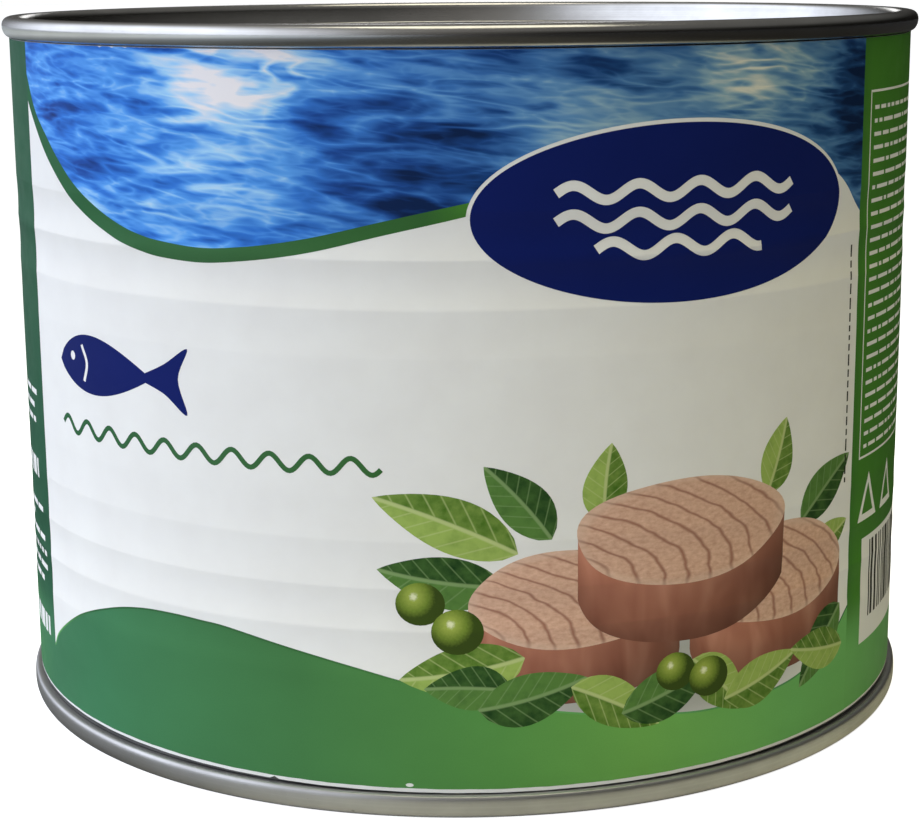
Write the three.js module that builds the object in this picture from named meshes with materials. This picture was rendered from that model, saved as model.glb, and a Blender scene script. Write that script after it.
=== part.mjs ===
// A shut, catering-size round food can with a paper label, in millimetres, +Z up.
// The origin is the centre of the base, on the surface that the can stands on.
// Four pieces share the axis: the steel wall, an end seamed on at the top and at the base, and the label.
// The can can't be seen into, so the wall is one solid with its contents.

import * as THREE from "three";

// Driving dimensions
const CAN_HEIGHT = 117.5;
const RIM_RADIUS = 78.5; // outside of both seams
const BODY_RADIUS = 77.0; // outside of the steel wall
const SEAM_HEIGHT = 3.3;
const RECESS_DEPTH = 3.6; // from the top of a rim down to the flat of its end

// Seams
const WALL_THICKNESS = 1.5; // the wall and the flange folded into it
const TUCK_OVERHANG = 0.45; // how far a seam's lower edge stands out over the wall
const CROWN_RADIUS = 76.55; // middle of the flat on top of a rim
const CROWN_WIDTH = 0.7;

// Control points that round a seam, the depths as shares of its height from the top
const BULGE_DEPTH = 0.45; // where it stands out most
const BULGE_PULL_UP = 0.12;
const BULGE_PULL_DOWN = 0.75;
const TUCK_PULL = 0.5; // mm, out from the lower edge
const CROWN_PULL = 0.8; // mm, out from both edges of the crown

// Ends
const CHUCK_TOP_RADIUS = 74.95; // the recess's wall, just under the rim
const CHUCK_FOOT_RADIUS = 74.2; // the same wall where it meets the groove
const CHUCK_TOP_DEPTH = 1.5;
const GROOVE_DEPTH = 5.0; // lowest point of the groove round the flat of an end
const GROOVE_WIDTH = 2.8;
const GROOVE_SHOULDER = 0.8; // rounding between the groove and what is beside it
const END_THICKNESS = 0.8; // under the groove
const PANEL_DROP = 0.6; // the middle of an end lies this much below its edge
const RING_RADII = [62, 48]; // rolled rings that let an end flex
const RING_HALF_WIDTH = 3.2;
const RING_CREST_HALF_WIDTH = 1;

// Beads rolled into the wall, in two groups about the middle of the can
const BEADS_PER_GROUP = 3;
const BEAD_PITCH = 6.6;
const BEAD_HALF_WIDTH = 2.2;
const BEAD_DEPTH = 0.25;
const BEAD_GROUP_OFFSET = 18; // from the middle of the can to the middle of a group

// Label
const LABEL_THICKNESS = 0.25;
const LABEL_MARGIN = 0.2; // bare wall between the label and each seam

// How finely the round shapes are divided, and the running gap between pieces
const SEGMENTS = 60;
const CURVE_STEPS = 4;
const GAP = 0.1;

const plugDepth = GROOVE_DEPTH + END_THICKNESS;
const plugRadius = BODY_RADIUS - WALL_THICKNESS;

const steel = new THREE.MeshStandardMaterial({ color: 0xb9bbbd, roughness: 0.32, metalness: 1 });
const wallSteel = new THREE.MeshStandardMaterial({ color: 0x9fa2a4, roughness: 0.42, metalness: 1 });
const paper = new THREE.MeshStandardMaterial({ color: 0xe9e7e1, roughness: 0.38, metalness: 0 });

// Turns a profile of (radius, height) about the vertical axis.
function turned(path) {
  const geometry = new THREE.LatheGeometry(path.getPoints(CURVE_STEPS), SEGMENTS);
  return geometry.rotateX(Math.PI / 2);
}

// The outside of a seam, from its lower edge out to the rim and up over the crown.
function seam(path) {
  const tuckRadius = BODY_RADIUS + TUCK_OVERHANG;
  const bulge = -BULGE_DEPTH * SEAM_HEIGHT;
  const above = -BULGE_PULL_UP * SEAM_HEIGHT;
  const below = -BULGE_PULL_DOWN * SEAM_HEIGHT;
  const crownEdge = CROWN_RADIUS + CROWN_WIDTH / 2;
  path.lineTo(tuckRadius, -SEAM_HEIGHT);
  path.bezierCurveTo(tuckRadius + TUCK_PULL, -SEAM_HEIGHT, RIM_RADIUS, below, RIM_RADIUS, bulge);
  path.bezierCurveTo(RIM_RADIUS, above, crownEdge + CROWN_PULL, 0, crownEdge, 0);
  path.lineTo(crownEdge - CROWN_WIDTH, 0);
}

// The wall of the recess, from the crown down to the groove, and up on to the flat of the end.
function chuckWallAndGroove(path) {
  const crownPull = CROWN_RADIUS - CROWN_WIDTH / 2 - CROWN_PULL;
  const chuckPull = -CHUCK_TOP_DEPTH / 3;
  const innerRadius = CHUCK_FOOT_RADIUS - GROOVE_WIDTH;
  const wallFoot = GROOVE_SHOULDER - GROOVE_DEPTH;
  const grooveReach = -GROOVE_DEPTH - GROOVE_SHOULDER / 3; // pulls the curve down to the groove's depth
  path.bezierCurveTo(crownPull, 0, CHUCK_TOP_RADIUS, chuckPull, CHUCK_TOP_RADIUS, -CHUCK_TOP_DEPTH);
  path.lineTo(CHUCK_FOOT_RADIUS, wallFoot);
  path.bezierCurveTo(CHUCK_FOOT_RADIUS, grooveReach, innerRadius, grooveReach, innerRadius, wallFoot);
  path.quadraticCurveTo(innerRadius, -RECESS_DEPTH, innerRadius - GROOVE_SHOULDER, -RECESS_DEPTH);
}

// The flat of an end, from its edge in to the axis, with its rolled rings.
function panel(path) {
  const low = -RECESS_DEPTH - PANEL_DROP;
  const crest = PANEL_DROP / 3 - RECESS_DEPTH; // a curve goes three quarters of the way to its control points
  const step = RING_RADII[0] + 2 * RING_HALF_WIDTH;
  path.lineTo(step, -RECESS_DEPTH);
  path.lineTo(step - PANEL_DROP, low);
  for (const radius of RING_RADII) {
    const outside = radius + RING_HALF_WIDTH;
    const inside = radius - RING_HALF_WIDTH;
    const outerPull = radius + RING_CREST_HALF_WIDTH;
    const innerPull = radius - RING_CREST_HALF_WIDTH;
    path.lineTo(outside, low);
    path.bezierCurveTo(outerPull, crest, innerPull, crest, inside, low);
  }
  path.lineTo(0, low);
}

// An end with the top of its rim at height 0. It plugs into the wall, and its seam stands on the wall's edge.
function endGeometry() {
  const path = new THREE.Path();
  path.moveTo(0, -plugDepth);
  path.lineTo(plugRadius - GAP, -plugDepth);
  path.lineTo(plugRadius - GAP, -SEAM_HEIGHT);
  seam(path);
  chuckWallAndGroove(path);
  panel(path);
  return turned(path);
}

// Heights of the beads' middles, from the base up.
function beadHeights() {
  const heights = [];
  for (const side of [-1, 1]) {
    for (let i = 0; i < BEADS_PER_GROUP; i += 1) {
      const fromGroupMiddle = (i - (BEADS_PER_GROUP - 1) / 2) * BEAD_PITCH;
      heights.push(CAN_HEIGHT / 2 + side * BEAD_GROUP_OFFSET + fromGroupMiddle);
    }
  }
  return heights;
}

// The steel wall and what fills it, with a lip at both ends that stands round the plug of each end.
function wallGeometry() {
  const fillBottom = plugDepth + GAP;
  const fillTop = CAN_HEIGHT - plugDepth - GAP;
  const lipBottom = SEAM_HEIGHT + GAP;
  const lipTop = CAN_HEIGHT - SEAM_HEIGHT - GAP;
  const path = new THREE.Path();
  path.moveTo(0, fillBottom);
  path.lineTo(plugRadius, fillBottom);
  path.lineTo(plugRadius, lipBottom);
  path.lineTo(BODY_RADIUS, lipBottom);
  for (const height of beadHeights()) {
    path.lineTo(BODY_RADIUS, height - BEAD_HALF_WIDTH);
    path.lineTo(BODY_RADIUS - BEAD_DEPTH, height - BEAD_HALF_WIDTH / 2);
    path.lineTo(BODY_RADIUS - BEAD_DEPTH, height + BEAD_HALF_WIDTH / 2);
    path.lineTo(BODY_RADIUS, height + BEAD_HALF_WIDTH);
  }
  path.lineTo(BODY_RADIUS, lipTop);
  path.lineTo(plugRadius, lipTop);
  path.lineTo(plugRadius, fillTop);
  path.lineTo(0, fillTop);
  return turned(path);
}

// The paper label, a sleeve round the wall between the seams.
function labelGeometry() {
  const inside = BODY_RADIUS + GAP;
  const outside = inside + LABEL_THICKNESS;
  const bottom = SEAM_HEIGHT + LABEL_MARGIN;
  const top = CAN_HEIGHT - SEAM_HEIGHT - LABEL_MARGIN;
  const path = new THREE.Path();
  path.moveTo(inside, bottom);
  path.lineTo(outside, bottom);
  path.lineTo(outside, top);
  path.lineTo(inside, top);
  path.lineTo(inside, bottom);
  return turned(path);
}

function piece(name, geometry, material) {
  const mesh = new THREE.Mesh(geometry, material);
  mesh.name = name;
  return mesh;
}

const can = new THREE.Group();

can.add(piece("can_wall", wallGeometry(), wallSteel));
can.add(piece("label", labelGeometry(), paper));

const topEnd = piece("top_end", endGeometry(), steel);
topEnd.position.z = CAN_HEIGHT;
can.add(topEnd);

const baseEnd = piece("base_end", endGeometry(), steel);
baseEnd.rotation.x = Math.PI;
can.add(baseEnd);

export default can;
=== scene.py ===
import math
import random

import bmesh
import bpy
import numpy as np
from mathutils import Matrix, Vector
from mathutils.geometry import delaunay_2d_cdt


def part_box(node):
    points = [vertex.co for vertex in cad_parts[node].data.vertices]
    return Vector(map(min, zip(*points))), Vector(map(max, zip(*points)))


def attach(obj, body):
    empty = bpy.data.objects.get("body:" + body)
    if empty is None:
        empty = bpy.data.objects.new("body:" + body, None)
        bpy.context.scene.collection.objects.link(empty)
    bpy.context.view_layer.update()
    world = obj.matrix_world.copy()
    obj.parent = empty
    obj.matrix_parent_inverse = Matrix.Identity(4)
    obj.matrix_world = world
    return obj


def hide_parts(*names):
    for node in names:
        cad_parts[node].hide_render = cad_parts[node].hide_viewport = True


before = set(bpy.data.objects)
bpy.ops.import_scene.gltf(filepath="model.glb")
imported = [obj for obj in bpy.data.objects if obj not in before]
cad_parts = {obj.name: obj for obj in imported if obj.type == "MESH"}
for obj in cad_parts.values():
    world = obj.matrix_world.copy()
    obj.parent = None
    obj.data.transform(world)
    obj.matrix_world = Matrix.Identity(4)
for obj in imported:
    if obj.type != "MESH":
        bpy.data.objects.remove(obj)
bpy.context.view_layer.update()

# Sizes in millimetres, read from the solids
MM = 0.001
CAN_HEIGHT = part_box("top_end")[1].z / MM
RIM_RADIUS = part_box("top_end")[1].y / MM
END_DEPTH = CAN_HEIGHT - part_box("top_end")[0].z / MM
BODY_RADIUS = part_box("can_wall")[1].y / MM
WALL_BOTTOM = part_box("can_wall")[0].z / MM
WALL_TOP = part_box("can_wall")[1].z / MM
LABEL_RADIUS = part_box("label")[1].y / MM
LABEL_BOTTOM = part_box("label")[0].z / MM
LABEL_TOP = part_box("label")[1].z / MM

# The same details of the steel as in the solids
GAP = 0.1
SEAM_HEIGHT = WALL_BOTTOM - GAP
WALL_THICKNESS = 1.5
TUCK_OVERHANG = 0.45
CROWN_RADIUS = 76.55
CROWN_WIDTH = 0.7
BULGE_DEPTH = 0.45
BULGE_PULL_UP = 0.12
BULGE_PULL_DOWN = 0.75
TUCK_PULL = 0.5
CROWN_PULL = 0.8
CHUCK_TOP_RADIUS = 74.95
CHUCK_FOOT_RADIUS = 74.2
CHUCK_TOP_DEPTH = 1.5
RECESS_DEPTH = 3.6
GROOVE_DEPTH = 5.0
GROOVE_WIDTH = 2.8
GROOVE_SHOULDER = 0.8
PANEL_DROP = 0.6
RING_RADII = (62, 48)
RING_HALF_WIDTH = 3.2
RING_CREST_HALF_WIDTH = 1

# The base seam, which is a little taller than in the solids and squarer at its shoulder
BASE_SEAM_HEIGHT = SEAM_HEIGHT + 0.45
BASE_TUCK_PULL = 0.95
BASE_BULGE_PULL_DOWN = 0.93

# How finely the steel is divided, and the angle from which its edges are sharp
SEGMENTS = 288
CURVE_STEPS = 8
SHARP_ANGLE = math.radians(40)

# Layout of the label along its arc, with 0 at the front and positive to the right
ROUND = math.tau * LABEL_RADIUS
FRONT_START = -85.8
FRONT_END = 72.7
SIDE_WIDTH = ROUND / 2 - (FRONT_END - FRONT_START)

# Where the paper is lapped over itself
LAP_ARC = -128.0
LAP_WIDTH = 14.0
LAP_RISE = 0.12
LAP_RAMP = 3.0
LAP_STEP = 0.02

# The paper and its ink
PAPER_THICKNESS = 0.2
PAPER_EVEN = 6.0
PAPER_COLUMNS = 281
PAPER_ROWS = 100
INK_LIFT = 0.02
INK_SUNK = 0.01
INK_TOP = LABEL_TOP - 0.02
WHITE_EDGE = 0.45
WHITE_EDGE_SWING = 0.15
GRID_STEP = 2.0
OUTLINE_STEP = 1.5

# How the paper's lower edge rises and falls round the can, and a nick in it
FOOT_RISE = 1.0
FOOT_SWING = 0.55
FOOT_SKEW = 0.12
NICK_ARC = -29.9
NICK_HEIGHT = 0.4
NICK_HALF_WIDTH = 0.5

# Chips along the top of the ink, between two arcs
CHIPS = (-60.5, -49.5)
CHIP_DEPTH = 0.16

# Slight cockles of the paper, as height, lengths per radian along the arc and up, and phase
COCKLES = ((0.012, 6.1, 17.0, 0.0), (0.010, 3.7, -11.0, 1.0))

# Dips where the paper follows the wall's beads, as the heights of both edges and the depth
DIPS = ((22.6, 29.2, 0.08), (29.2, 35.6, 0.085), (35.6, 42.8, 0.06), (42.8, 49.6, 0.02),
        (70.2, 77.2, 0.03), (77.2, 84.4, 0.13), (84.4, 91.2, 0.11))
CRESTS = sorted({edge for low, high, _ in DIPS for edge in (low, high)})
CREST_STEP = 0.3

# How much more than their true slope the dips lean in the shading
DIP_SHADING = 5.0

random.seed(11)


# Meshes

def new_object(name, mesh):
    item = bpy.data.objects.new(name, mesh)
    bpy.context.scene.collection.objects.link(item)
    return item


def part(name, mesh, material, slot, *nodes):
    """A finished piece of the can, which stands for solids."""
    item = new_object(name, mesh)
    mesh.materials.append(material)
    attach(item, "root")
    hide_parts(*nodes)


def bezier(start, pull_start, pull_end, end):
    """Points of a cubic curve after its start."""
    t = np.linspace(0, 1, CURVE_STEPS + 1)[1:, None]
    a, b, c, d = (np.array(point, float) for point in (start, pull_start, pull_end, end))
    curve = (1 - t) ** 3 * a + 3 * (1 - t) ** 2 * t * b + 3 * (1 - t) * t * t * c + t ** 3 * d
    return list(map(tuple, curve))


def lathe(name, profile):
    """A closed mesh, turned about the axis from (radius, height) points that start and end on it."""
    graph = bmesh.new()
    rings = []
    for radius, height in profile:
        count = 1 if radius == 0 else SEGMENTS
        turns = [math.tau * i / count for i in range(count)]
        ring = [(radius * math.sin(a) * MM, -radius * math.cos(a) * MM, height * MM) for a in turns]
        rings.append([graph.verts.new(place) for place in ring])
    for below, above in zip(rings, rings[1:]):
        for i in range(SEGMENTS):
            corners = []
            for ring, k in ((below, i), (below, i + 1), (above, i + 1), (above, i)):
                corner = ring[k % len(ring)]
                if corner not in corners:
                    corners.append(corner)
            graph.faces.new(corners)
    bmesh.ops.recalc_face_normals(graph, faces=graph.faces)
    mesh = bpy.data.meshes.new(name)
    graph.to_mesh(mesh)
    graph.free()
    mesh.shade_smooth()
    mesh.set_sharp_from_angle(angle=SHARP_ANGLE)
    return mesh


# Materials

class Nodes:
    """Short ways to add nodes to a tree."""

    def __init__(self, tree):
        self.tree = tree

    def put(self, socket, value):
        if isinstance(value, bpy.types.NodeSocket):
            self.tree.links.new(value, socket)
        else:
            socket.default_value = value

    def node(self, kind, inputs, output=0, **settings):
        made = self.tree.nodes.new("ShaderNode" + kind)
        for name, value in settings.items():
            setattr(made, name, value)
        for name, value in inputs.items():
            self.put(made.inputs[name], value)
        return made.outputs[output]

    def attribute(self, name):
        return self.node("Attribute", {}, output="Vector", attribute_name=name)

    def object_place(self):
        return self.node("TexCoord", {}, output="Object")

    def camera_ray(self):
        return self.node("LightPath", {}, output="Is Camera Ray")

    def scaled(self, vector, scale):
        return self.node("VectorMath", {0: vector, 1: scale}, operation="MULTIPLY")

    def split(self, vector, axis):
        return self.node("SeparateXYZ", {0: vector}, output=axis)

    def reach(self, vector, centre=(0, 0, 0), scale=(1, 1, 0)):
        """How far a place lies from a centre, with its axes scaled."""
        away = self.node("VectorMath", {0: vector, 1: centre}, operation="SUBTRACT")
        return self.node("VectorMath", {0: self.scaled(away, scale)}, output="Value", operation="LENGTH")

    def noise(self, vector, detail=4.0, roughness=0.55, distortion=0.0):
        values = {"Vector": vector, "Scale": 1.0, "Detail": detail, "Roughness": roughness}
        return self.node("TexNoise", {**values, "Distortion": distortion})

    def maths(self, operation, a, b=0.0):
        return self.node("Math", {0: a, 1: b}, operation=operation)

    def weighted(self, *terms, start=0.0):
        """The sum of values, each times its weight."""
        total = start
        for value, weight in terms:
            total = self.node("Math", {0: value, 1: weight, 2: total}, operation="MULTIPLY_ADD")
        return total

    def fitted(self, value, low, high, to_low=0.0, to_high=1.0, kind="LINEAR"):
        values = {"Value": value, "From Min": low, "From Max": high, "To Min": to_low, "To Max": to_high}
        return self.node("MapRange", values, interpolation_type=kind)

    def eased(self, *values):
        """Fitted, with soft ends."""
        return self.fitted(*values, kind="SMOOTHSTEP")

    def ramp(self, value, *stops):
        made = self.tree.nodes.new("ShaderNodeValToRGB")
        self.put(made.inputs[0], value)
        points = made.color_ramp.elements
        while len(points) < len(stops):
            points.new(1.0)
        for point, (place, colour) in zip(points, stops):
            point.position = place
            point.color = (*colour, 1.0)
        return made.outputs[0]

    def mix(self, factor, a, b, blend="MIX"):
        made = self.tree.nodes.new("ShaderNodeMix")
        made.data_type = "RGBA"
        made.blend_type = blend
        colours = [socket for socket in made.inputs if socket.type == "RGBA"]
        for socket, value in zip((made.inputs[0], *colours), (factor, a, b)):
            self.put(socket, (*value, 1.0) if isinstance(value, tuple) else value)
        return next(socket for socket in made.outputs if socket.type == "RGBA")

    def shaded(self, colour, shade):
        grey = self.node("CombineColor", {"Red": shade, "Green": shade, "Blue": shade})
        return self.mix(1.0, colour, grey, "MULTIPLY")

    def bump(self, height, strength, distance):
        return self.node("Bump", {"Height": height, "Strength": strength, "Distance": distance * MM})


class Shader(Nodes):
    """A material and its nodes."""

    def __init__(self, name):
        self.material = bpy.data.materials.new(name)
        self.material.use_nodes = True
        super().__init__(self.material.node_tree)

    def finish(self, **values):
        surface = self.tree.nodes["Principled BSDF"]
        for name, value in values.items():
            self.put(surface.inputs[name.replace("_", " ")], value)
        return self.material


# Scales of the steel's patterns, and the colour of its specks
MOTTLE_SCALE = (70, 70, 110)
SPECK_SCALE = (420, 420, 600)
STREAK_SCALE = 4200
SPECK_COLOUR = (0.1, 0.095, 0.085)


def tinplate(name, bright, dark_tone_and_shade, rough_low, rough_high):
    """Tinned steel: streaks drawn round the can, soft mottling and a few dark specks."""
    shader = Shader(name)
    place = shader.object_place()
    height = shader.maths("MULTIPLY", shader.split(place, "Z"), STREAK_SCALE)
    mottle = shader.noise(shader.scaled(place, MOTTLE_SCALE), detail=5, roughness=0.6)
    streaks = shader.noise(shader.node("CombineXYZ", {"X": mottle, "Z": height}), detail=3)
    specks = shader.noise(shader.scaled(place, SPECK_SCALE), detail=2)
    specks = shader.eased(specks, 0.72, 0.8, 0.0, 0.5)
    tone = shader.weighted((mottle, 0.7), (streaks, 0.3))
    colour = shader.mix(specks, shader.ramp(tone, (0.32, dark_tone_and_shade), (0.62, bright)), SPECK_COLOUR)
    rough = shader.fitted(tone, 0.35, 0.65, rough_high, rough_low)
    relief = shader.weighted((streaks, 0.25), (mottle, 1.0))
    return shader.finish(
        Base_Color=colour, Metallic=1.0, Roughness=rough, Normal=shader.bump(relief, 0.15, 0.08))


# The gloss of the coated paper, and its whites
PAPER_ROUGHNESS = (0.46, 0.56)
PAPER_IOR = 1.13
PAPER_WHITES = ((0.3, (0.80, 0.79, 0.785)), (0.7, (0.835, 0.83, 0.825)))


class Ink(Shader):
    """The material of a printed or bare area of the label."""

    def __init__(self, name):
        super().__init__(name)
        self.place = self.attribute("place")

    def speckle(self, along, up, **settings):
        """Noise over the label, scaled along its arc and up it."""
        return self.noise(self.scaled(self.place, (along, up, 1)), **settings)

    def white(self):
        """The softly mottled white of the bare paper."""
        return self.ramp(self.speckle(0.12, 0.12, detail=6), *PAPER_WHITES)

    def along_arc(self, stops):
        """A colour that changes along the arc, or the only one given."""
        start, colour = stops[0]
        if len(stops) == 1:
            return colour
        end = stops[-1][0]
        along = self.fitted(self.split(self.place, "X"), start, end)
        return self.ramp(along, *[((arc - start) / (end - start), shade) for arc, shade in stops])

    def coated(self, colour):
        """Finishes the area with the wear, the faint tooth and the cockle of coated paper."""
        rough = self.fitted(self.speckle(0.25, 0.25, detail=5), 0.3, 0.7, *PAPER_ROUGHNESS)
        tooth = self.speckle(2.2, 2.2, detail=3)
        cockle = self.speckle(0.06, 0.1, detail=2)
        normal = self.bump(self.weighted((tooth, 0.12), (cockle, 1.0)), 0.3, 0.12)
        return self.finish(Base_Color=colour, Roughness=rough, IOR=PAPER_IOR, Normal=normal)


def white_paper():
    ink = Ink("label_paper")
    return ink.coated(ink.white())


def flat_ink(name, stops, low_stops=None):
    """A field of ink that varies as printing does. Its colour may change along the arc and to its foot,
    which for the greens is painted light.
    """
    ink = Ink(name)
    tone = ink.weighted((ink.speckle(0.035, 0.05, detail=3), 0.7), (ink.speckle(4.5, 4.5, detail=2), 0.3))
    # For the greens, the colour changes along the arc and to the foot are painted light
    colour = ink.along_arc(stops)
    if low_stops:
        foot_share = ink.eased(ink.split(ink.place, "Y"), *FOOT_BLEND, 1.0, 0.0)
        colour = ink.mix(foot_share, colour, ink.along_arc(low_stops))
    return ink.coated(ink.shaded(colour, ink.fitted(tone, 0.35, 0.65, 0.93, 1.07)))


# Light and dark patches of the water, as centre, reach and weight, with the glows first
SEA_PATCHES = (((-33, 113), (22, 13), 0.32), ((47, 110), (19, 10), 0.13), ((-38, 100), (24, 18), 0.2),
               ((-60, 91), (22, 3), 0.18), ((-4, 97), (26, 13), -0.24), ((17, 101), (20, 12), 0.16),
               ((71, 104), (14, 22), -0.33))
SEA_GLOWS = 2

# Layers of ripples on the water, as scale, distortion and weight, and the lines that cross its glows
SEA_RIPPLES = (((0.03, 0.17, 1), 0.6, 0.34), ((0.075, 0.38, 1), 0.8, 0.26), ((0.2, 0.95, 1), 0.4, 0.1))
SEA_LINES = ((0.06, 0.2, 1), 1.3, 0.36)
SEA_SLANT = 0.09
SEA_TONE = 0.42

# Colours of the water from dark to light, on the left and on the right of a front, and where they turn
SEA_LEFT = ((0.12, (0.006, 0.02, 0.085)), (0.3, (0.015, 0.07, 0.33)), (0.48, (0.035, 0.18, 0.64)),
            (0.62, (0.1, 0.34, 0.83)), (0.78, (0.36, 0.63, 0.92)), (1.0, (0.84, 0.81, 0.85)))
SEA_RIGHT = ((0.12, (0.005, 0.019, 0.075)), (0.3, (0.013, 0.06, 0.2)), (0.48, (0.06, 0.175, 0.4)),
             (0.62, (0.13, 0.28, 0.48)), (0.78, (0.3, 0.46, 0.56)), (1.0, (0.74, 0.74, 0.66)))
SEA_TURN = (-30, 25)


def sea_ink():
    """Open water: ripples with bright crests, and two pale glows crossed by soft lines."""
    ink = Ink("print_sea")
    arc = ink.split(ink.place, "X")
    slant = ink.weighted((arc, SEA_SLANT), start=ink.split(ink.place, "Y"))
    slant = ink.node("CombineXYZ", {"X": arc, "Y": slant})

    def crests(scale, distortion, reach):
        swell = ink.noise(ink.scaled(slant, scale), detail=1, distortion=distortion)
        fall = ink.maths("ABSOLUTE", ink.maths("SUBTRACT", swell, 0.5))
        return ink.fitted(fall, 0.0, reach, 1.0, 0.0)

    tone = SEA_TONE
    glow = 0.0
    for index, (centre, (wide, tall), weight) in enumerate(SEA_PATCHES):
        away = ink.reach(ink.place, (*centre, 0), (1 / wide, 1 / tall, 0))
        near = ink.eased(away, 0.0, 1.0, 1.0, 0.0)
        tone = ink.weighted((near, weight), start=tone)
        if index < SEA_GLOWS:
            glow = ink.maths("ADD", near, glow)
    for scale, distortion, weight in SEA_RIPPLES:
        ripple = ink.maths("SUBTRACT", crests(scale, distortion, 0.25), 0.6)
        tone = ink.weighted((ripple, weight), start=tone)
    scale, distortion, weight = SEA_LINES
    lines = ink.maths("MULTIPLY", crests(scale, distortion, 0.12), weight)
    tone = ink.weighted((glow, lines), start=tone)
    left, right = ink.ramp(tone, *SEA_LEFT), ink.ramp(tone, *SEA_RIGHT)
    return ink.coated(ink.mix(ink.fitted(arc, *SEA_TURN), left, right))


def fish_top_ink():
    """The cut face of a fish steak: pale flakes in long arcs, with thin darker lines between them."""
    ink = Ink("print_fish_top")
    local = ink.attribute("local")
    wobble = ink.noise(ink.scaled(local, (1.8, 1.8, 9)), detail=2)
    bands = ink.weighted((ink.reach(local, (-1.5, -0.9, 0)), 4.4), (wobble, 0.8))
    line = ink.eased(ink.maths("PINGPONG", bands, 0.5), 0.0, 0.14, 0.8, 0.0)
    fibre = ink.speckle(0.9, 1.6, detail=5, roughness=0.6)
    flake = ink.ramp(fibre, (0.2, (0.52, 0.285, 0.2)), (0.8, (0.8, 0.53, 0.405)))
    colour = ink.mix(line, flake, (0.3, 0.125, 0.085))
    edge = ink.eased(ink.reach(local), 0.86, 1.0, 0.0, 0.45)
    return ink.coated(ink.mix(edge, colour, (0.74, 0.54, 0.43)))


def fish_side_ink():
    """The side of a fish steak: soft flakes, darker towards its foot and its right."""
    ink = Ink("print_fish_side")
    local = ink.attribute("local")
    fibre = ink.noise(ink.scaled(local, (3.4, 0.7, 5)), detail=2, roughness=0.45, distortion=0.4)
    colour = ink.ramp(
        fibre, (0.25, (0.27, 0.1, 0.068)), (0.52, (0.36, 0.15, 0.102)), (0.8, (0.5, 0.24, 0.17)))
    down = ink.fitted(ink.split(local, "Y"), 0.0, 1.0, 1.2, 0.55)
    across = ink.fitted(ink.split(local, "X"), -1.0, 1.0, 1.25, 0.6)
    return ink.coated(ink.shaded(colour, ink.maths("MULTIPLY", down, across)))


def leaf_ink(name, dark, light, vein):
    """A leaf with a midrib, side veins, a lit half and a shaded half."""
    ink = Ink(name)
    local = ink.attribute("local")
    across = ink.split(local, "Y")
    off = ink.maths("ABSOLUTE", across)
    half = ink.eased(across, -0.08, 0.08, 0.0, 0.45)
    tone = ink.weighted((ink.speckle(0.45, 0.45, detail=5), 0.75), start=half)
    colour = ink.ramp(tone, (0.2, dark), (0.85, light))
    ribs = ink.weighted((ink.split(local, "X"), 7.0), (off, -1.54))
    ribs = ink.eased(ink.maths("PINGPONG", ribs, 0.5), 0.0, 0.1, 0.5, 0.0)
    midrib = ink.eased(off, 0.03, 0.11, 0.9, 0.0)
    return ink.coated(ink.mix(ink.maths("MAXIMUM", ribs, midrib), colour, vein))


def olive_ink():
    """A round green olive with a lit side and a soft shine."""
    ink = Ink("print_olive")
    away = ink.reach(ink.attribute("local"), (-0.3, 0.35, 0))
    grain = ink.maths("SUBTRACT", ink.speckle(2.5, 2.5, detail=3), 0.5)
    colour = ink.ramp(
        ink.weighted((grain, 0.25), start=away), (0.08, (0.75, 0.78, 0.5)), (0.22, (0.34, 0.42, 0.08)),
        (0.65, (0.17, 0.25, 0.035)), (1.0, (0.045, 0.075, 0.012)))
    return ink.coated(colour)


def shade_ink():
    """A soft grey shadow on white paper."""
    ink = Ink("print_shade")
    dark = ink.eased(ink.reach(ink.attribute("local")), 0.35, 0.98, 0.65, 0.0)
    return ink.coated(ink.mix(dark, ink.white(), (0.2, 0.21, 0.19)))


# The label's surface

def relief(arc, height):
    """How far the paper stands out from its radius: slight cockles, dips over the beads, and the lap."""
    along = np.mod(arc - LAP_ARC, ROUND)
    out = 0
    for rise, wide, tall, phase in COCKLES:
        out = out + rise * np.sin((along + LAP_ARC) / wide + height / tall + phase)
    for low, high, depth in DIPS:
        share = (2 * height - low - high) / (high - low)
        out = out - depth * np.maximum(0, 1 - share * share)
    ramp = np.clip((along - (ROUND - LAP_WIDTH)) / LAP_RAMP, 0, 1)
    return out + LAP_RISE * ramp * ramp * (3 - 2 * ramp)


def foot(arc):
    """The height of the paper's lower edge, which isn't cut level."""
    turn = 2 * arc / LABEL_RADIUS
    return LABEL_BOTTOM + FOOT_RISE - FOOT_SWING * np.cos(turn) - FOOT_SKEW * np.sin(turn)


def wrapped(arc, height, lift):
    """Points of the label from arc and height, and their normals, which lean more than the dips do."""
    step = 0.05
    radius = LABEL_RADIUS - INK_LIFT + relief(arc, height) + lift
    turn = arc / LABEL_RADIUS
    out = np.stack([np.sin(turn), -np.cos(turn), np.zeros_like(turn)], -1)
    along = np.stack([np.cos(turn), np.sin(turn), np.zeros_like(turn)], -1)
    inside = np.mod(arc - LAP_ARC, ROUND) > 2 * step
    slope = np.where(inside, relief(arc, height) - relief(arc - step, height), 0.0) / step
    tilt = (relief(arc, height + step) - relief(arc, height - step)) / (2 * step)
    normal = out - slope[:, None] * along
    normal[:, 2] -= DIP_SHADING * tilt
    normal /= np.linalg.norm(normal, axis=1)[:, None]
    places = radius[:, None] * out
    places[:, 2] = height
    return places * MM, normal


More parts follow.
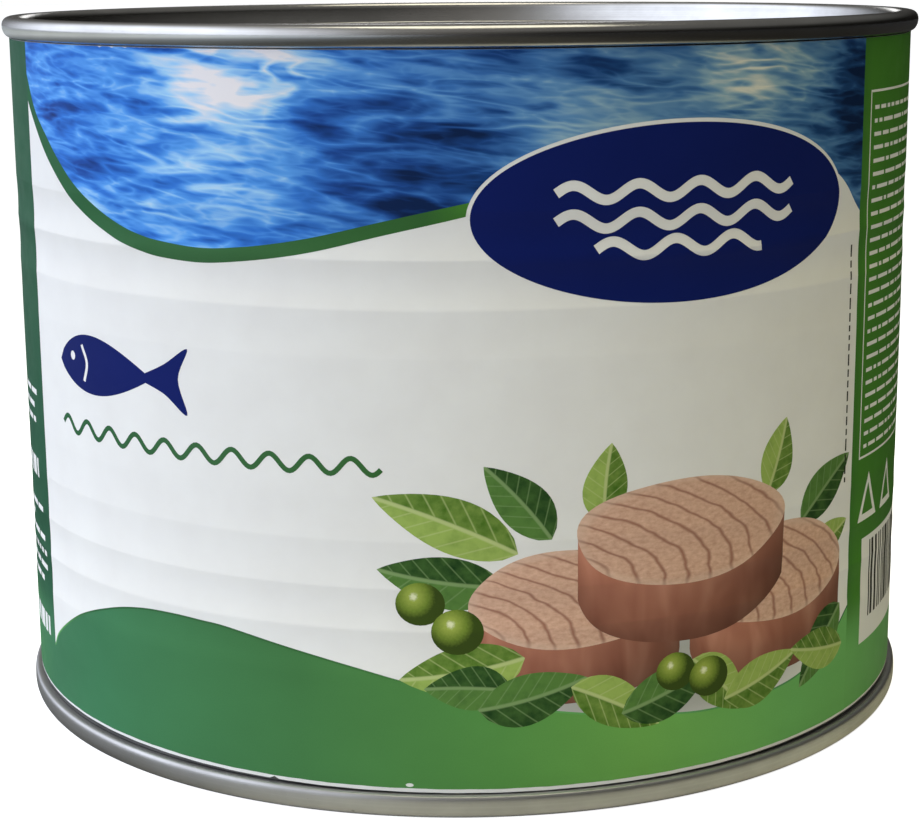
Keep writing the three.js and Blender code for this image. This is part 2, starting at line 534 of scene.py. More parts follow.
class Film:
    """Closed sheets over triangles of the label, gathered into one mesh."""

    def __init__(self):
        self.places, self.faces, self.normals = [], [], []
        self.place, self.local = [], []
        self.count = 0

    def add(self, points, triangles, shift, front, back, local):
        used, flat = np.unique(triangles, return_inverse=True)
        corners = flat.reshape(triangles.shape)
        spots = points[used]
        edges = np.concatenate([corners[:, (0, 1)], corners[:, (1, 2)], corners[:, (2, 0)]])
        known = set(map(tuple, edges))
        border = np.array([edge for edge in known if edge[::-1] not in known])
        number = len(used)
        outer, normal = wrapped(spots[:, 0] + shift, spots[:, 1], front)
        inner, _ = wrapped(spots[:, 0] + shift, spots[:, 1], back)
        start, end = border.T
        walls = np.c_[end, start, start + number, end + number]
        self.places += [outer, inner]
        self.faces += (corners + self.count).tolist()
        self.faces += (corners[:, ::-1] + number + self.count).tolist()
        self.faces += (walls + self.count).tolist()
        self.normals += [normal[corners].reshape(-1, 3), -normal[corners[:, ::-1]].reshape(-1, 3)]
        self.normals.append(np.zeros((walls.size, 3)))
        self.place += [np.c_[spots, np.zeros(number)]] * 2
        self.local += [local] * 2
        self.count += 2 * number

    def mesh(self, name):
        mesh = bpy.data.meshes.new(name)
        mesh.from_pydata(np.concatenate(self.places), [], self.faces)
        for title, rows in (("place", self.place), ("local", self.local)):
            values = np.concatenate(rows).astype(np.float32)
            layer = mesh.attributes.new(title, "FLOAT_VECTOR", "POINT")
            layer.data.foreach_set("vector", values.ravel())
        mesh.shade_smooth()
        mesh.normals_split_custom_set(np.concatenate(self.normals))
        mesh.update()
        return mesh


class Field:
    """One area of the print: the piece it belongs to, its outline, and its own frame for a pattern."""

    def __init__(self, piece, outline, local=None):
        self.piece = piece
        self.outline = closer(outline)
        self.local = local or (lambda spots: 0 * spots)
        self.seed = random.random()

    def pattern(self, spots):
        return np.c_[self.local(spots), np.full(len(spots), self.seed)]

    def holds(self, spots):
        """Which spots lie inside the outline."""
        x, y = spots[:, :1], spots[:, 1:]
        x0, y0 = self.outline.T
        x1, y1 = np.roll(self.outline, -1, axis=0).T
        left = (x1 - x0) * (y - y0) > (x - x0) * (y1 - y0)
        up = (y0 <= y) & (y1 > y) & left
        down = (y0 > y) & (y1 <= y) & ~left
        return up.sum(1) != down.sum(1)


def closer(outline):
    """The same outline in steps short enough to follow the can's round."""
    spots = np.array(outline, float)
    line = []
    for a, b in zip(spots, np.roll(spots, -1, axis=0)):
        count = max(1, math.ceil(np.linalg.norm(b - a) / OUTLINE_STEP))
        line += [a + (b - a) * k / count for k in range(count)]
    return np.array(line)


# The piece of a field that leaves the white paper bare
BARE = None


def cut(fields, start, end, folds):
    """Splits a panel, the first field, along all outlines, and finds the triangles of each field."""
    arcs = np.arange(start + GRID_STEP / 2, end, GRID_STEP)
    heights = np.arange(LABEL_BOTTOM + GRID_STEP, INK_TOP, GRID_STEP)
    spots = [Vector((arc, height)) for arc in arcs for height in heights]
    edges = []
    creases = [[(arc, crest) for arc in (start, *arcs, end)] for crest in CRESTS]
    creases += [[(fold, height) for height in heights] for fold in folds]
    for crease in creases:
        first = len(spots)
        spots += [Vector(spot) for spot in crease]
        edges += [(first + k, first + k + 1) for k in range(len(crease) - 1)]
    for field in fields:
        first = len(spots)
        number = len(field.outline)
        edges += [(first + k, first + (k + 1) % number) for k in range(number)]
        spots += [Vector(spot) for spot in field.outline]
    points, _, triangles, _, _, _ = delaunay_2d_cdt(spots, edges, [], 0, 1e-5, False)
    points = np.array([tuple(point) for point in points])
    triangles = np.array(triangles)
    middles = points[triangles].mean(axis=1)
    shown = np.full(len(triangles), -1)
    for index, field in enumerate(fields):
        shown[field.holds(middles)] = index
    shown[~fields[0].holds(middles)] = -1
    return points, [triangles[shown == index] for index in range(len(fields))]


# Outlines in arc and height

def smooth(points, steps=10):
    """A curve through the points."""
    known = np.array(points, float)
    padded = np.vstack([2 * known[0] - known[1], known, 2 * known[-1] - known[-2]])
    t = np.linspace(0, 1, steps, endpoint=False)[:, None]
    curve = []
    for a, b, c, d in zip(padded, padded[1:], padded[2:], padded[3:]):
        curve.append(b + 0.5 * t * (c - a + t * (2 * a - 5 * b + 4 * c - d + t * (3 * (b - c) + d - a))))
    return np.vstack(curve + [known[-1:]])


def box(left, right, low, high):
    return [(left, low), (right, low), (right, high), (left, high)]


def oval(centre, half_width, half_height, count=64, wobble=0.0, phase=0.0):
    turn = np.linspace(0, math.tau, count, endpoint=False)
    reach = 1 + wobble * np.sin(3 * turn + phase) + 0.6 * wobble * np.sin(5 * turn + 2 * phase)
    arc = centre[0] + half_width * reach * np.cos(turn)
    return np.c_[arc, centre[1] + half_height * reach * np.sin(turn)]


def stroke(line, width):
    """The outline of a line of even width."""
    line = np.array(line, float)
    way = np.gradient(line, axis=0)
    way /= np.linalg.norm(way, axis=1)[:, None]
    side = np.c_[-way[:, 1], way[:, 0]] * width / 2
    return np.vstack([line - side, (line + side)[::-1]])


def wave(left, right, height, swing, length, count=90):
    arc = np.linspace(left, right, count)
    return np.c_[arc, height + swing * np.sin(math.tau * (arc - left) / length)]


def turned(points, base, angle):
    c, s = math.cos(angle), math.sin(angle)
    return np.array(points) @ np.array([[c, s], [-s, c]]) + np.array(base)


# Edges of the fields on a front panel
SEA_EDGE = [(-85.8, 109), (-82.2, 103.6), (-77.3, 99.5), (-73.1, 96.1), (-68.2, 92.7), (-61.8, 89.5),
            (-56.2, 87.4), (-51.8, 86.3), (-47.6, 85.7), (-40, 85.2), (-33, 85.7), (-26.5, 86.6),
            (-20.3, 87.8), (-11.5, 89.9), (-0.1, 92.4), (10.1, 94.4), (42.7, 98.4), (63, 94.8),
            (72.7, 87.4)]
BAND_EDGE = [(-85.8, 104.8), (-83.9, 102.6), (-78.9, 97.5), (-74.8, 94.1), (-70.2, 90.8), (-66.9, 89),
             (-63.6, 87.5), (-59.7, 86), (-56.4, 84.9), (-51.9, 83.9), (-47.7, 83.3), (-40.1, 83),
             (-33.1, 83.6), (-26.6, 84.5), (-20.4, 85.7), (-11.5, 87.9), (-0.1, 90.5), (10.1, 93),
             (30.5, 97.3)]
GROUND_EDGE = [(-85.8, 13.3), (-82.6, 16.6), (-73.1, 22), (-63.2, 25.5), (-55.3, 27.2), (-48.5, 27.7),
               (-42.5, 27.6), (-36.9, 27.2), (-26.6, 25.3), (-17.1, 23.3), (-8.1, 21.1), (0.8, 19.1),
               (14.4, 16.2), (28.8, 14.3), (40.2, 13.3), (56.3, 14.4), (66.3, 18.1), (72.7, 22.8)]
GROUND_LINE = 0.3

# The oval sign, its white outline, and its waves as half length and height
PLAQUE_CENTRE = (33.5, 90.2)
PLAQUE_HALF = (32.3, 13)
PLAQUE_LINE = 0.6
PLAQUE_WAVES = ((20, 93.7), (20, 89.6), (14, 85.5))

# The plain fish and the wave under it
FISH_NOSE = (-75.7, 64.4)
FISH_LENGTH = 25
FISH_TAIL = [(-53, 64.8), (-48, 67), (-43.2, 69.8), (-45.2, 65), (-43.6, 59.6), (-48, 62.4), (-53, 64)]
FISH_GILL = [(-68.3, 67.6), (-66.9, 64.8), (-67.9, 61.8)]
FISH_EYE = (-71.3, 65.5)
LONG_WAVE = (FISH_NOSE[0], -12, 54.1, 1.2, 6.4, 160)

# Leaves of the dish, as stalk, angle in degrees, length, width, bend and shade
LEAVES_BEHIND = (
    ((8, 41), 152, 23, 8.5, 2.5, "light"), ((6, 36), 178, 19, 8, -2, "dark"),
    ((13, 43), 124, 15, 7.5, 2, "dark"), ((21, 45), 92, 12, 7, -1.5, "light"),
    ((50, 46), 64, 12, 7, 1.5, "light"), ((58, 40), 40, 16, 7.5, -2, "dark"),
    ((60, 34), 14, 12, 6, 1, "light"))
LEAVES_BEFORE = (
    ((9, 25), 196, 19, 8.5, -2, "light"), ((7, 20), 172, 13, 7, 1.5, "dark"),
    ((2, 17), 8, 17, 8, 2, "dark"), ((16, 20), 338, 16, 7.5, -1.5, "light"),
    ((24, 15), 14, 17, 8, 2, "dark"), ((36, 22), 320, 14, 7.5, -1, "light"),
    ((42, 14.5), 10, 16, 7.5, 2, "light"), ((70, 24), 218, 16, 8, 2, "dark"),
    ((71, 17), 176, 15, 7, -1.5, "light"))

# Steaks as centre, half width, half height, depth and phase, olives as centre and radius, and a shadow
STEAKS = (((17, 33.5), 16.5, 7.6, 8.5, 2.2), ((52.5, 33), 17, 7.8, 8.5, 4.0),
          ((35, 42.5), 18.5, 8.2, 9.0, 0.5))
OLIVES = (((-6.5, 33.5), 3.3), ((-1, 29.2), 3.5), ((33, 20.5), 3.0), ((39, 18.8), 3.2))
SHADOW_CENTRE = (31.0, 20.0)
SHADOW_HALF = (44.0, 12.0)

# A column of fine upright dashes, as both sides and both ends
DASHES = (70.1, 70.5, 44.0, 82.0)
DASH_LENGTHS = (0.7, 2.2)
DASH_GAP = 0.6

# A curl of the paper's white edge
CURL_CENTRE = (-8.4, 5.1)
CURL_HALF = (0.6, 0.3)


# What is printed on a front panel

def leaf(base, angle_deg, length, width, bend, shade):
    """A pointed leaf from its stalk to its tip, with a bent midrib."""
    angle = math.radians(angle_deg)
    t = np.linspace(0, 1, 15)
    half = width / 2 * np.sin(math.pi * t ** 0.8) ** 0.85
    half[-1] = 0
    middle = bend * t * t
    upper = np.c_[t * length, middle + half]
    lower = np.c_[t * length, middle - half][1:-1]
    outline = turned(np.vstack([upper, lower[::-1]]), base, angle)

    def local(spots):
        flat = turned(spots - np.array(base), (0, 0), -angle)
        along = flat[:, 0] / length
        return np.c_[along, (flat[:, 1] - bend * along ** 2) / (width / 2)]

    return Field("leaf_" + shade, outline, local)


def steak(centre, half_width, half_height, depth, phase):
    """A round steak seen from above its edge: its side, and its cut face over it."""
    middle = np.array(centre, float)
    size = np.array([half_width, half_height])
    face = oval(centre, half_width, half_height, wobble=0.025, phase=phase)
    low = face[len(face) // 2:] - np.array([0, depth])
    side = np.vstack([face[len(face) // 2], low, face[0]])

    def on_side(spots):
        across = np.clip((spots[:, 0] - middle[0]) / half_width, -1, 1)
        edge = middle[1] - half_height * np.sqrt(1 - across ** 2)
        return np.c_[across, (edge - spots[:, 1]) / depth]

    def on_face(spots):
        return (spots - middle) / size

    return [Field("fish_side", side, on_side), Field("fish_top", face, on_face)]


def olive(centre, radius):
    outline = oval(centre, radius * 1.12, radius, 28)
    return Field("olive", outline, lambda spots: (spots - np.array(centre)) / radius)


def picture():
    """A generic dish in the label's lower right: fish steaks on leaves, with olives."""
    fields = [leaf(*row) for row in LEAVES_BEHIND]
    for row in STEAKS:
        fields += steak(*row)
    fields += [leaf(*row) for row in LEAVES_BEFORE]
    return fields + [olive(*row) for row in OLIVES]


def shadow():
    """The soft shadow under the dish."""
    middle, size = np.array(SHADOW_CENTRE), np.array(SHADOW_HALF)
    return Field("shade", oval(middle, *size), lambda spots: (spots - middle) / size)


def fish_sign():
    """A plain fish in deep blue."""
    t = np.linspace(0, 1, 24)

    def side(height, lean):
        swell = height * np.sin(math.pi * t ** lean) ** 0.9
        return np.array(FISH_NOSE) + np.c_[FISH_LENGTH * t, swell]

    body = np.vstack([side(5.0, 0.75), side(-4.4, 0.8)[-2:0:-1]])
    gill = stroke(smooth(FISH_GILL, 8), 0.7)
    return [Field("navy", body), Field("navy", smooth(FISH_TAIL, 6)),
            Field(BARE, oval(FISH_EYE, 0.75, 0.75, 20)), Field(BARE, gill)]


def plaque():
    """An oval sign with a white outline and white waves."""
    half_width, half_height = PLAQUE_HALF
    fields = [Field(BARE, oval(PLAQUE_CENTRE, half_width + PLAQUE_LINE, half_height + PLAQUE_LINE, 120)),
              Field("navy", oval(PLAQUE_CENTRE, half_width, half_height, 120))]
    middle = PLAQUE_CENTRE[0]
    for reach, height in PLAQUE_WAVES:
        fields.append(Field(BARE, stroke(wave(middle - reach, middle + reach, height, 1.1, 10), 1.5)))
    return fields


def panel_outline(start, end, shift=0.0):
    """A panel's edges: straight at its sides, uneven at its foot, and chipped in one place at its top."""
    arcs = np.linspace(start, end, 320)
    ragged = 0.02 * np.sin(arcs * 0.73 + 1) + 0.01 * np.sin(arcs * 1.9)
    edge = WHITE_EDGE + WHITE_EDGE_SWING * np.cos(2 * (arcs + shift) / LABEL_RADIUS)
    chipped = np.where((arcs > CHIPS[0]) & (arcs < CHIPS[1]), CHIP_DEPTH, 0.0)
    chips = chipped * np.maximum(0, np.sin(2.3 * arcs) + 0.7 * np.sin(4.1 * arcs + 1) - 0.5)
    low = np.c_[arcs, foot(arcs + shift) + edge + ragged]
    return np.vstack([low, np.c_[arcs, INK_TOP - chips][::-1]])


def under(edge, level=0.0):
    """The area between an edge and the label's foot."""
    line = smooth(edge)
    return np.vstack([line, [(line[-1, 0], level), (line[0, 0], level)]])


def over(edge):
    """The area between an edge and the label's top."""
    return under(edge, CAN_HEIGHT)


def fine_line():
    """A column of tiny upright dashes."""
    left, right, height, end = DASHES
    fields = []
    while height < end:
        length = random.uniform(*DASH_LENGTHS)
        fields.append(Field("dark", box(left, right, height, height + length)))
        height += length + DASH_GAP
    return fields


def front_fields():
    fields = [Field(BARE, panel_outline(FRONT_START, FRONT_END))]
    fields.append(Field("green", over(BAND_EDGE)))
    fields.append(Field("sea", over(SEA_EDGE)))
    fields += plaque()
    fields += fish_sign()
    fields.append(Field("green", stroke(wave(*LONG_WAVE), 0.8)))
    fields.append(shadow())
    fields.append(Field("ground", under(GROUND_EDGE)))
    fields.append(Field("green", stroke(smooth(GROUND_EDGE), GROUND_LINE)))
    curl = Field(BARE, oval(CURL_CENTRE, *CURL_HALF, 20))
    return fields + picture() + fine_line() + [curl]


# What is printed on a side panel, with its arc measured from the end of a front

# The boxes and the stripes as left, right, low and high, and the triangles between the boxes
TEXT_BOX = (2.7, 45, 46.6, 105.9)
TEXT_FIELD = (3.1, 44.6, 47, 105.5)
TEXT_ENDS = (4.4, 43.4)
TEXT_HEIGHTS = np.arange(48.2, 104.4, 2.1)
TEXT_THICKNESS = 0.65
STRIPED_BOX = (5.2, 43, 14.6, 32.8)
STRIPES = (9.0, 39, 18.6, 31.8)
STRIPE_WIDTHS = (0.5, 0.5, 1.0, 1.5)
STRIPE_GAPS = (0.6, 0.6, 1.1)
TRIANGLES = (3.0, 14.0)
TRIANGLE_WIDTH = 8.6
TRIANGLE_FOOT = 35.9
TRIANGLE_TOP = 43.9
TRIANGLE_LINE = 1.5

# Other rows of fine print, as where they start, their heights, thickness and longest bar
OTHER_ROWS = ((50, (55.6, 53.1, 50.6), 1.0, 6.0), (62, (41.0,), 3.4, 4.0),
              (50, (35.4, 32.9, 30.4, 27.9, 25.4, 22.9), 1.0, 6.0), (62, (14.0,), 3.4, 4.0))
ROWS_END = SIDE_WIDTH - 3

# How short the rows end, and the bars and gaps in them
ROW_CUTS = (0, 0, 0.1, 0.35)
SHORTEST_BAR = 1.2
BAR_GAP = 0.7


def rows(left, right, heights, thick, longest=6.0):
    """Lines of fine print, as plain bars."""
    fields = []
    for height in heights:
        arc = left
        end = right - random.choice(ROW_CUTS) * (right - left)
        while arc < end - 1:
            length = min(random.uniform(SHORTEST_BAR, longest), end - arc)
            fields.append(Field(BARE, box(arc, arc + length, height, height + thick)))
            arc += length + BAR_GAP
    return fields


def triangle(left, inset):
    """A triangle on its foot, drawn in from all its sides."""
    side, low = 1.2 * inset, TRIANGLE_FOOT + 0.75 * inset
    top = (left + TRIANGLE_WIDTH / 2, TRIANGLE_TOP - 1.3 * inset)
    return [(left + side, low), (left + TRIANGLE_WIDTH - side, low), top]


def stripes(arc, end, low, high):
    """Upright dark stripes of uneven width."""
    fields = []
    while arc < end:
        width = random.choice(STRIPE_WIDTHS)
        fields.append(Field("dark", box(arc, arc + width, low, high)))
        arc += width + random.choice(STRIPE_GAPS)
    return fields


def side_fields():
    fields = [Field("green", panel_outline(0, SIDE_WIDTH, FRONT_END))]
    fields += [Field(BARE, box(*TEXT_BOX)), Field("green", box(*TEXT_FIELD))]
    fields += rows(*TEXT_ENDS, TEXT_HEIGHTS, TEXT_THICKNESS)
    for left in TRIANGLES:
        fields.append(Field(BARE, triangle(left, 0)))
        fields.append(Field("green", triangle(left, TRIANGLE_LINE)))
    fields.append(Field(BARE, box(*STRIPED_BOX)))
    fields += stripes(*STRIPES)
    for left, heights, thick, longest in OTHER_ROWS:
        fields += rows(left, ROWS_END, heights, thick, longest)
    return fields


# Colours of the greens by their arc, and the heights between which a side panel takes on its low ones.
# Their changes along the arc and towards the foot are painted light on the print's green: darker and bluer
# on the left and at the front's right edge, brighter in the middle and low down on the right
GREENS_WITH_PAINTED_LIGHT = ((-85, (0.022, 0.114, 0.046)), (-40, (0.044, 0.136, 0.052)), (-5, (0.04, 0.14, 0.036)),
          (3, (0.067, 0.23, 0.03)), (35, (0.06, 0.195, 0.03)), (68, (0.024, 0.1, 0.052)))
GROUND_WITH_PAINTED_LIGHT = ((-85, (0.057, 0.197, 0.098)), (-67, (0.051, 0.195, 0.09)), (-25, (0.059, 0.191, 0.063)),
          (5, (0.099, 0.288, 0.07)), (28, (0.163, 0.408, 0.091)), (57, (0.164, 0.46, 0.134)))
LOW_GREENS_WITH_PAINTED_LIGHT = ((0, (0.16, 0.45, 0.13)), (84, (0.057, 0.197, 0.098)))
FOOT_BLEND = (14.0, 25.0)

# Colours of the other inks, a leaf's as dark, light and veins
NAVY = ((0, (0.006, 0.0135, 0.12)),)
DARK = ((0, (0.027, 0.027, 0.026)),)
LIGHT_LEAF = ((0.05, 0.14, 0.012), (0.33, 0.46, 0.11), (0.5, 0.58, 0.25))
DARK_LEAF = ((0.012, 0.045, 0.012), (0.1, 0.22, 0.05), (0.22, 0.34, 0.14))

# Each ink with its slot, how it is made, and from what
INKS = {
    "green": ("print_green", flat_ink, "print_green", GREENS_WITH_PAINTED_LIGHT, LOW_GREENS_WITH_PAINTED_LIGHT),
    "ground": ("print_green", flat_ink, "print_ground", GROUND_WITH_PAINTED_LIGHT),
    "sea": ("print_sea", sea_ink),
    "navy": ("print_navy", flat_ink, "print_navy", NAVY),
    "dark": ("print_navy", flat_ink, "print_dark", DARK),
    "fish_top": ("print_tuna", fish_top_ink),
    "fish_side": ("print_tuna", fish_side_ink),
    "leaf_light": ("print_leaf", leaf_ink, "print_leaf_light", *LIGHT_LEAF),
    "leaf_dark": ("print_leaf", leaf_ink, "print_leaf_dark", *DARK_LEAF),
    "olive": ("print_leaf", olive_ink),
    "shade": ("label_paper", shade_ink),
}


def print_label():
    """Every ink of the two fronts and the two sides, each a film on the paper."""
    made = {name: build(*values) for name, (_, build, *values) in INKS.items()}
    half = ROUND / 2
    lap = LAP_ARC + half - FRONT_END
    rise = lap - LAP_WIDTH
    folds = (rise, rise + LAP_RAMP / 2, rise + LAP_RAMP, lap - LAP_STEP, lap + LAP_STEP)
    layouts = ((front_fields(), FRONT_START, FRONT_END, (), (("front", 0), ("back", half))),
               (side_fields(), 0, SIDE_WIDTH, folds, (("right", FRONT_END), ("left", FRONT_END + half))))
    for fields, start, end, creased, copies in layouts:
        points, shares = cut(fields, start, end, creased)
        for where, shift in copies:
            films = {}
            for field, triangles in zip(fields, shares):
                if field.piece is BARE or len(triangles) == 0:
                    continue
                film = films.setdefault(field.piece, Film())
                spots = points[np.unique(triangles)]
                film.add(points, triangles, shift, INK_LIFT, -INK_SUNK, field.pattern(spots))
            for piece, film in films.items():
                name = f"print_{piece}_{where}"
                part(name, film.mesh(name), made[piece], INKS[piece][0], "label")


def paper_sleeve():
    """The paper, cut a little unevenly, nicked at its foot and lapped at one side."""
    arcs = np.append(LAP_ARC + np.linspace(0, ROUND, PAPER_COLUMNS), NICK_ARC + np.linspace(-0.8, 0.8, 5))
    arcs.sort()
    arcs[-1] -= 1e-3
    levels = set(np.linspace(PAPER_EVEN, LABEL_TOP, PAPER_ROWS))
    levels |= {crest + step for crest in CRESTS for step in (-CREST_STEP, 0, CREST_STEP)}
    nick = NICK_HEIGHT * np.exp(-((arcs - NICK_ARC) / NICK_HALF_WIDTH) ** 2)
    low = foot(arcs) + 0.02 * np.sin(arcs * 0.9) + nick
    heights = np.vstack([low, np.tile(np.array(sorted(levels))[:, None], len(arcs))])
    points = np.c_[np.tile(arcs, len(heights)), heights.ravel()]
    index = np.arange(len(points)).reshape(heights.shape)
    a, b = index[:-1, :-1].ravel(), index[:-1, 1:].ravel()
    c, d = index[1:, 1:].ravel(), index[1:, :-1].ravel()
    triangles = np.vstack([np.c_[a, b, c], np.c_[a, c, d]])
    film = Film()
    film.add(points, triangles, 0, 0, -PAPER_THICKNESS, np.zeros((len(points), 3)))
    return film.mesh("label_paper")


# Steel

def end_profile(seam, tuck_pull, pull_down):
    """An end from the axis under its plug, out round its seam and in over its panel, with its rim at 0."""
    plug = BODY_RADIUS - WALL_THICKNESS - GAP
    tuck = BODY_RADIUS + TUCK_OVERHANG
    bulge = -BULGE_DEPTH * seam
    crown_out = CROWN_RADIUS + CROWN_WIDTH / 2
    crown_in = CROWN_RADIUS - CROWN_WIDTH / 2
    inner = CHUCK_FOOT_RADIUS - GROOVE_WIDTH
    wall_foot = GROOVE_SHOULDER - GROOVE_DEPTH
    reach = -GROOVE_DEPTH - GROOVE_SHOULDER / 3
    flat = -RECESS_DEPTH
    low = flat - PANEL_DROP
    crest = flat + PANEL_DROP / 3
    step = RING_RADII[0] + 2 * RING_HALF_WIDTH
    line = [(0, -END_DEPTH), (plug, -END_DEPTH), (plug, -seam), (tuck, -seam)]
    line += bezier(
        line[-1], (tuck + tuck_pull, -seam), (RIM_RADIUS, -pull_down * seam), (RIM_RADIUS, bulge))
    line += bezier(
        line[-1], (RIM_RADIUS, -BULGE_PULL_UP * seam), (crown_out + CROWN_PULL, 0), (crown_out, 0))
    line.append((crown_in, 0))
    line += bezier(line[-1], (crown_in - CROWN_PULL, 0), (CHUCK_TOP_RADIUS, -CHUCK_TOP_DEPTH / 3),
                   (CHUCK_TOP_RADIUS, -CHUCK_TOP_DEPTH))
    line.append((CHUCK_FOOT_RADIUS, wall_foot))
    line += bezier(line[-1], (CHUCK_FOOT_RADIUS, reach), (inner, reach), (inner, wall_foot))
    line += bezier(line[-1], (inner, flat), (inner, flat), (inner - GROOVE_SHOULDER, flat))
    line.append((step, flat))
    line += bezier(line[-1], (step - PANEL_DROP, flat), (step - PANEL_DROP / 2, low),
                   (step - 2 * PANEL_DROP, low))
    for radius in RING_RADII:
        line.append((radius + RING_HALF_WIDTH, low))
        line += bezier(line[-1], (radius + RING_CREST_HALF_WIDTH, crest),
                       (radius - RING_CREST_HALF_WIDTH, crest), (radius - RING_HALF_WIDTH, low))
    return line + [(0, low)]


def steel_parts():
    """Both ends, the base one satin, and the wall, of which only a strip under the label shows, made dark
    all over as painted shade in that gap.
    """
    bright = tinplate("end_steel", (0.62, 0.61, 0.59), (0.48, 0.47, 0.45), 0.17, 0.26)
    satin = tinplate("base_steel", (0.61, 0.6, 0.585), (0.49, 0.48, 0.465), 0.36, 0.47)
    # The wall's dark colour is painted shade in the gap between the label's foot and the base seam
    dark_tone_and_shade = tinplate("wall_steel", (0.16, 0.16, 0.157), (0.1, 0.1, 0.098), 0.3, 0.45)
    top = end_profile(SEAM_HEIGHT, TUCK_PULL, BULGE_PULL_DOWN)
    top = [(radius, CAN_HEIGHT + depth) for radius, depth in top]
    base = end_profile(BASE_SEAM_HEIGHT, BASE_TUCK_PULL, BASE_BULGE_PULL_DOWN)
    base = [(radius, -depth) for radius, depth in base]
    part("top_end_steel", lathe("top_end_steel", top), bright, "end_steel", "top_end")
    part("base_end_steel", lathe("base_end_steel", base), satin, "end_steel", "base_end")
    plug = BODY_RADIUS - WALL_THICKNESS
    lip = BASE_SEAM_HEIGHT + GAP
    fill_bottom = END_DEPTH + GAP
    fill_top = CAN_HEIGHT - fill_bottom
    wall = [(0, fill_bottom), (plug, fill_bottom), (plug, lip), (BODY_RADIUS, lip),
            (BODY_RADIUS, WALL_TOP), (plug, WALL_TOP), (plug, fill_top), (0, fill_top)]
    part("can_wall_steel", lathe("can_wall_steel", wall), dark_tone_and_shade, "wall_steel", "can_wall")


# Floor, light and camera, in metres

WHITE = (1, 1, 1, 1)

# Half the floor's width, and how the floor dims away from the can
FLOOR_HALF = 6.0
FLOOR_DIMS = (0.18, 0.4)
FLOOR_SHARE = 0.36

# How much brighter the floor is to the camera alone, to be as white as the photograph's
FLOOR_GLOW = 0.9


def floor():
    mesh = bpy.data.meshes.new("floor")
    corners = [(x, y, 0) for x, y in box(-FLOOR_HALF, FLOOR_HALF, -FLOOR_HALF, FLOOR_HALF)]
    mesh.from_pydata(corners, [], [(0, 1, 2, 3)])
    shader = Shader("floor")
    place = shader.object_place()
    speck = shader.noise(shader.scaled(place, (30, 30, 30)))
    pale = shader.ramp(speck, (0.3, (0.86, 0.86, 0.86)), (0.7, (0.9, 0.9, 0.9)))
    shade = shader.eased(shader.reach(place), *FLOOR_DIMS, 1.0, FLOOR_SHARE)
    mesh.materials.append(shader.finish(
        Base_Color=shader.shaded(pale, shade), Roughness=0.7, Emission_Color=WHITE,
        Emission_Strength=shader.maths("MULTIPLY", shader.camera_ray(), FLOOR_GLOW)))
    new_object("floor", mesh)


# Where the flag starts at the can, its height above the floor, and its number of sides
FLAG_NEAR = 0.0776
FLAG_LIFT = 0.0001
FLAG_SIDES = 96

# Its greys close to the can, their tint, its colours further out, and how far out these meet
FLAG_TONES = ((0.0, 0.12), (0.183, 0.14), (0.261, 0.3), (0.356, 0.56), (0.444, 0.6), (0.539, 0.66),
              (0.667, 0.64), (0.811, 0.84), (0.867, 0.76), (1.0, 0.64))
FLAG_TINT = (1, 0.985, 0.93)
FLAG_COLOURS = ((0.0, (0.9, 0.97, 1.0)), (0.27, (0.78, 0.84, 0.95)), (0.42, (0.24, 0.27, 0.33)),
                (0.54, (0.065, 0.068, 0.072)), (0.615, (0.055, 0.052, 0.048)),
                (0.77, (0.013, 0.012, 0.011)))
FLAG_MEETS = (0.09, 0.14)

# Where both start on the left and end on the right
FLAG_TONE_ENDS = (-0.09, 0.09)
FLAG_COLOUR_ENDS = (-0.8, 0.5)


def flag():
    """A sheet of greys on the floor round the can, which only the gloss of the can sees: its colours are
    painted reflections.
    """
    turns = [math.tau * k / FLAG_SIDES for k in range(FLAG_SIDES)]
    corners = [(reach * math.cos(a), reach * math.sin(a), FLAG_LIFT)
               for reach in (FLAG_NEAR, FLOOR_HALF) for a in turns]
    sides = [(k, (k + 1) % FLAG_SIDES) for k in range(FLAG_SIDES)]
    mesh = bpy.data.meshes.new("flag")
    mesh.from_pydata(corners, [], [(a, b, FLAG_SIDES + b, FLAG_SIDES + a) for a, b in sides])
    shader = Shader("flag")
    place = shader.object_place()
    across = shader.split(place, "X")
    wide = shader.ramp(shader.fitted(across, *FLAG_COLOUR_ENDS), *FLAG_COLOURS)
    greys = [(stop, [tone * share for share in FLAG_TINT]) for stop, tone in FLAG_TONES]
    close = shader.ramp(shader.fitted(across, *FLAG_TONE_ENDS), *greys)
    shade = shader.mix(shader.fitted(shader.reach(place), *FLAG_MEETS), close, wide)
    mesh.materials.append(shader.finish(Base_Color=shade, Roughness=0.9))
    item = new_object("flag", mesh)
    item.visible_camera = False
    item.visible_diffuse = False
    item.visible_shadow = False


# Where all lights point
LIGHT_TARGET = Vector((0, 0, 0.06))


def area_light(name, place, size, power, colour, in_gloss):
    light = bpy.data.lights.new(name, "AREA")
    light.size = size
    light.energy = power
    light.color = colour
    item = new_object(name, light)
    item.location = place
    item.rotation_euler = (LIGHT_TARGET - Vector(place)).to_track_quat("-Z", "Y").to_euler()
    item.visible_camera = False
    item.visible_glossy = in_gloss


# The room's brightness from its left to its right, and how it falls off behind the can
ROOM = ((0.0, (1.6, 1.72, 2.0)), (0.13, (1.55, 1.66, 1.92)), (0.19, (1.15, 1.22, 1.38)),
        (0.25, (0.62, 0.65, 0.72)), (0.31, (0.3, 0.31, 0.32)), (0.37, (0.16, 0.155, 0.15)),
        (0.5, (0.085, 0.08, 0.075)), (0.7, (0.013, 0.012, 0.011)), (1.0, (0.006, 0.006, 0.005)))
ROOM_BEHIND = (0.45, 0.85, 1.0, 0.5)

# What the room's upper part adds, and from which heights
ROOM_ABOVE = (0.13, 0.13, 0.125, 1.0)
ROOM_ABOVE_FROM = (0.15, 0.5)

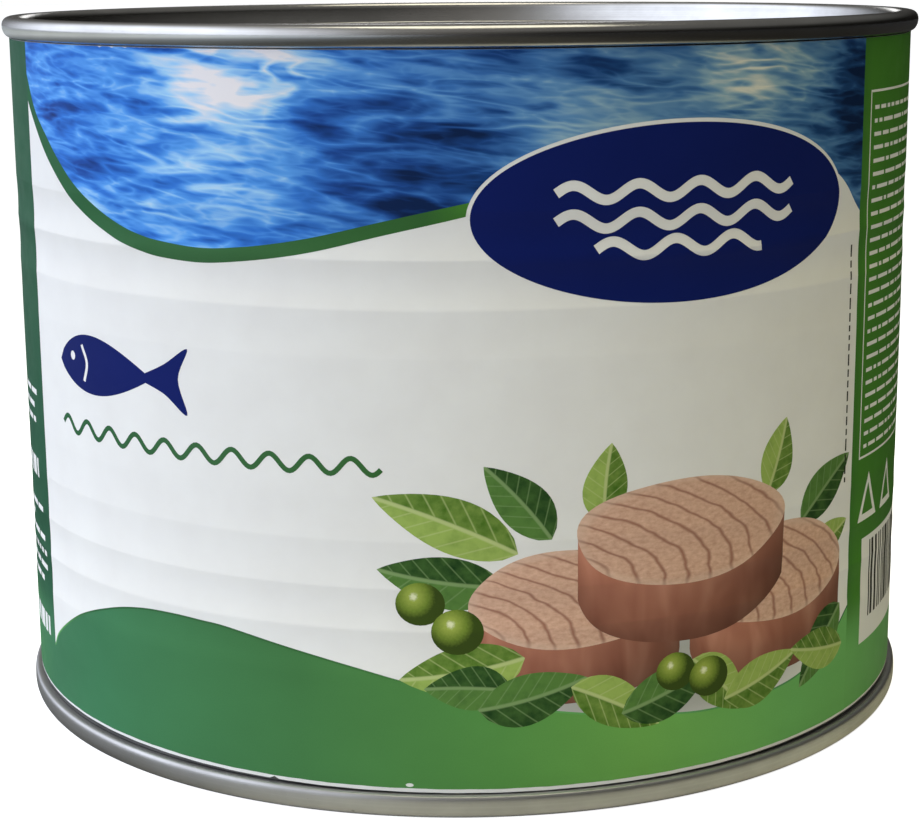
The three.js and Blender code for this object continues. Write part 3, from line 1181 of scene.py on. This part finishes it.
# A white patch low behind the can: its strength, its direction, how narrow it is, and where it fades
BACKDROP = 2.4
BACKDROP_WAY = (0, 1, 0.17)
BACKDROP_SCALE = (8, 5, 9)
BACKDROP_FADE = (0.5, 1.0)


def world_light():
    """White behind the can for the camera, and a soft room, bright on the left and dim on the right."""
    world = bpy.data.worlds.new("room")
    bpy.context.scene.world = world
    world.use_nodes = True
    nodes = Nodes(world.node_tree)

    def background(colour, strength=1.0):
        return nodes.node("Background", {"Color": colour, "Strength": strength})

    way = nodes.node("TexCoord", {}, output="Generated")
    x, y, z = (nodes.split(way, axis) for axis in "XYZ")
    around = background(nodes.ramp(nodes.fitted(x, -1.0, 1.0), *ROOM), nodes.fitted(y, *ROOM_BEHIND))
    above = background(ROOM_ABOVE, nodes.fitted(z, *ROOM_ABOVE_FROM))
    off = nodes.reach(way, BACKDROP_WAY, BACKDROP_SCALE)
    backdrop = background(WHITE, nodes.fitted(off, *BACKDROP_FADE, BACKDROP, 0.0))
    room = nodes.node("AddShader", {0: nodes.node("AddShader", {0: around, 1: above}), 1: backdrop})
    mixed = nodes.node("MixShader", {0: nodes.camera_ray(), 1: room, 2: background(WHITE)})
    nodes.put(nodes.tree.nodes["World Output"].inputs["Surface"], mixed)


def lights():
    area_light("overhead", (0.1, -0.35, 1.35), 1.2, power=8.2, colour=(1.0, 0.93, 0.46), in_gloss=False)
    area_light("glint", (0.05, -0.1, 1.4), 0.8, power=4.2, colour=(1.0, 0.95, 0.76), in_gloss=True)
    area_light("key", (-0.78, -0.66, 0.45), 0.8, power=2.6, colour=(0.56, 0.69, 1.0), in_gloss=False)
    world_light()


# The photograph's viewpoint, in millimetres, degrees and pixels
IMAGE_WIDTH = 920
FOCAL_PIXELS = 2065.3
CAMERA_DISTANCE = 368.0
CAMERA_HEIGHT = 126.0
CAMERA_PITCH = 12.241
CAMERA_YAW = -0.076
CAMERA_ROLL = -0.436


def camera():
    data = bpy.data.cameras.new("camera")
    data.sensor_width = 36.0
    data.lens = FOCAL_PIXELS / IMAGE_WIDTH * data.sensor_width
    data.clip_start = 0.01
    item = new_object("camera", data)
    place = Matrix.Translation((0, -CAMERA_DISTANCE * MM, CAMERA_HEIGHT * MM))
    yaw = Matrix.Rotation(-math.radians(CAMERA_YAW), 4, "Z")
    pitch = Matrix.Rotation(math.radians(90 - CAMERA_PITCH), 4, "X")
    roll = Matrix.Rotation(math.radians(CAMERA_ROLL), 4, "Z")
    item.matrix_world = place @ yaw @ pitch @ roll
    bpy.context.scene.camera = item


steel_parts()
part("label_paper", paper_sleeve(), white_paper(), "label_paper", "label")
print_label()
floor()
flag()
lights()
camera()
bpy.context.scene.view_settings.view_transform = "Standard"
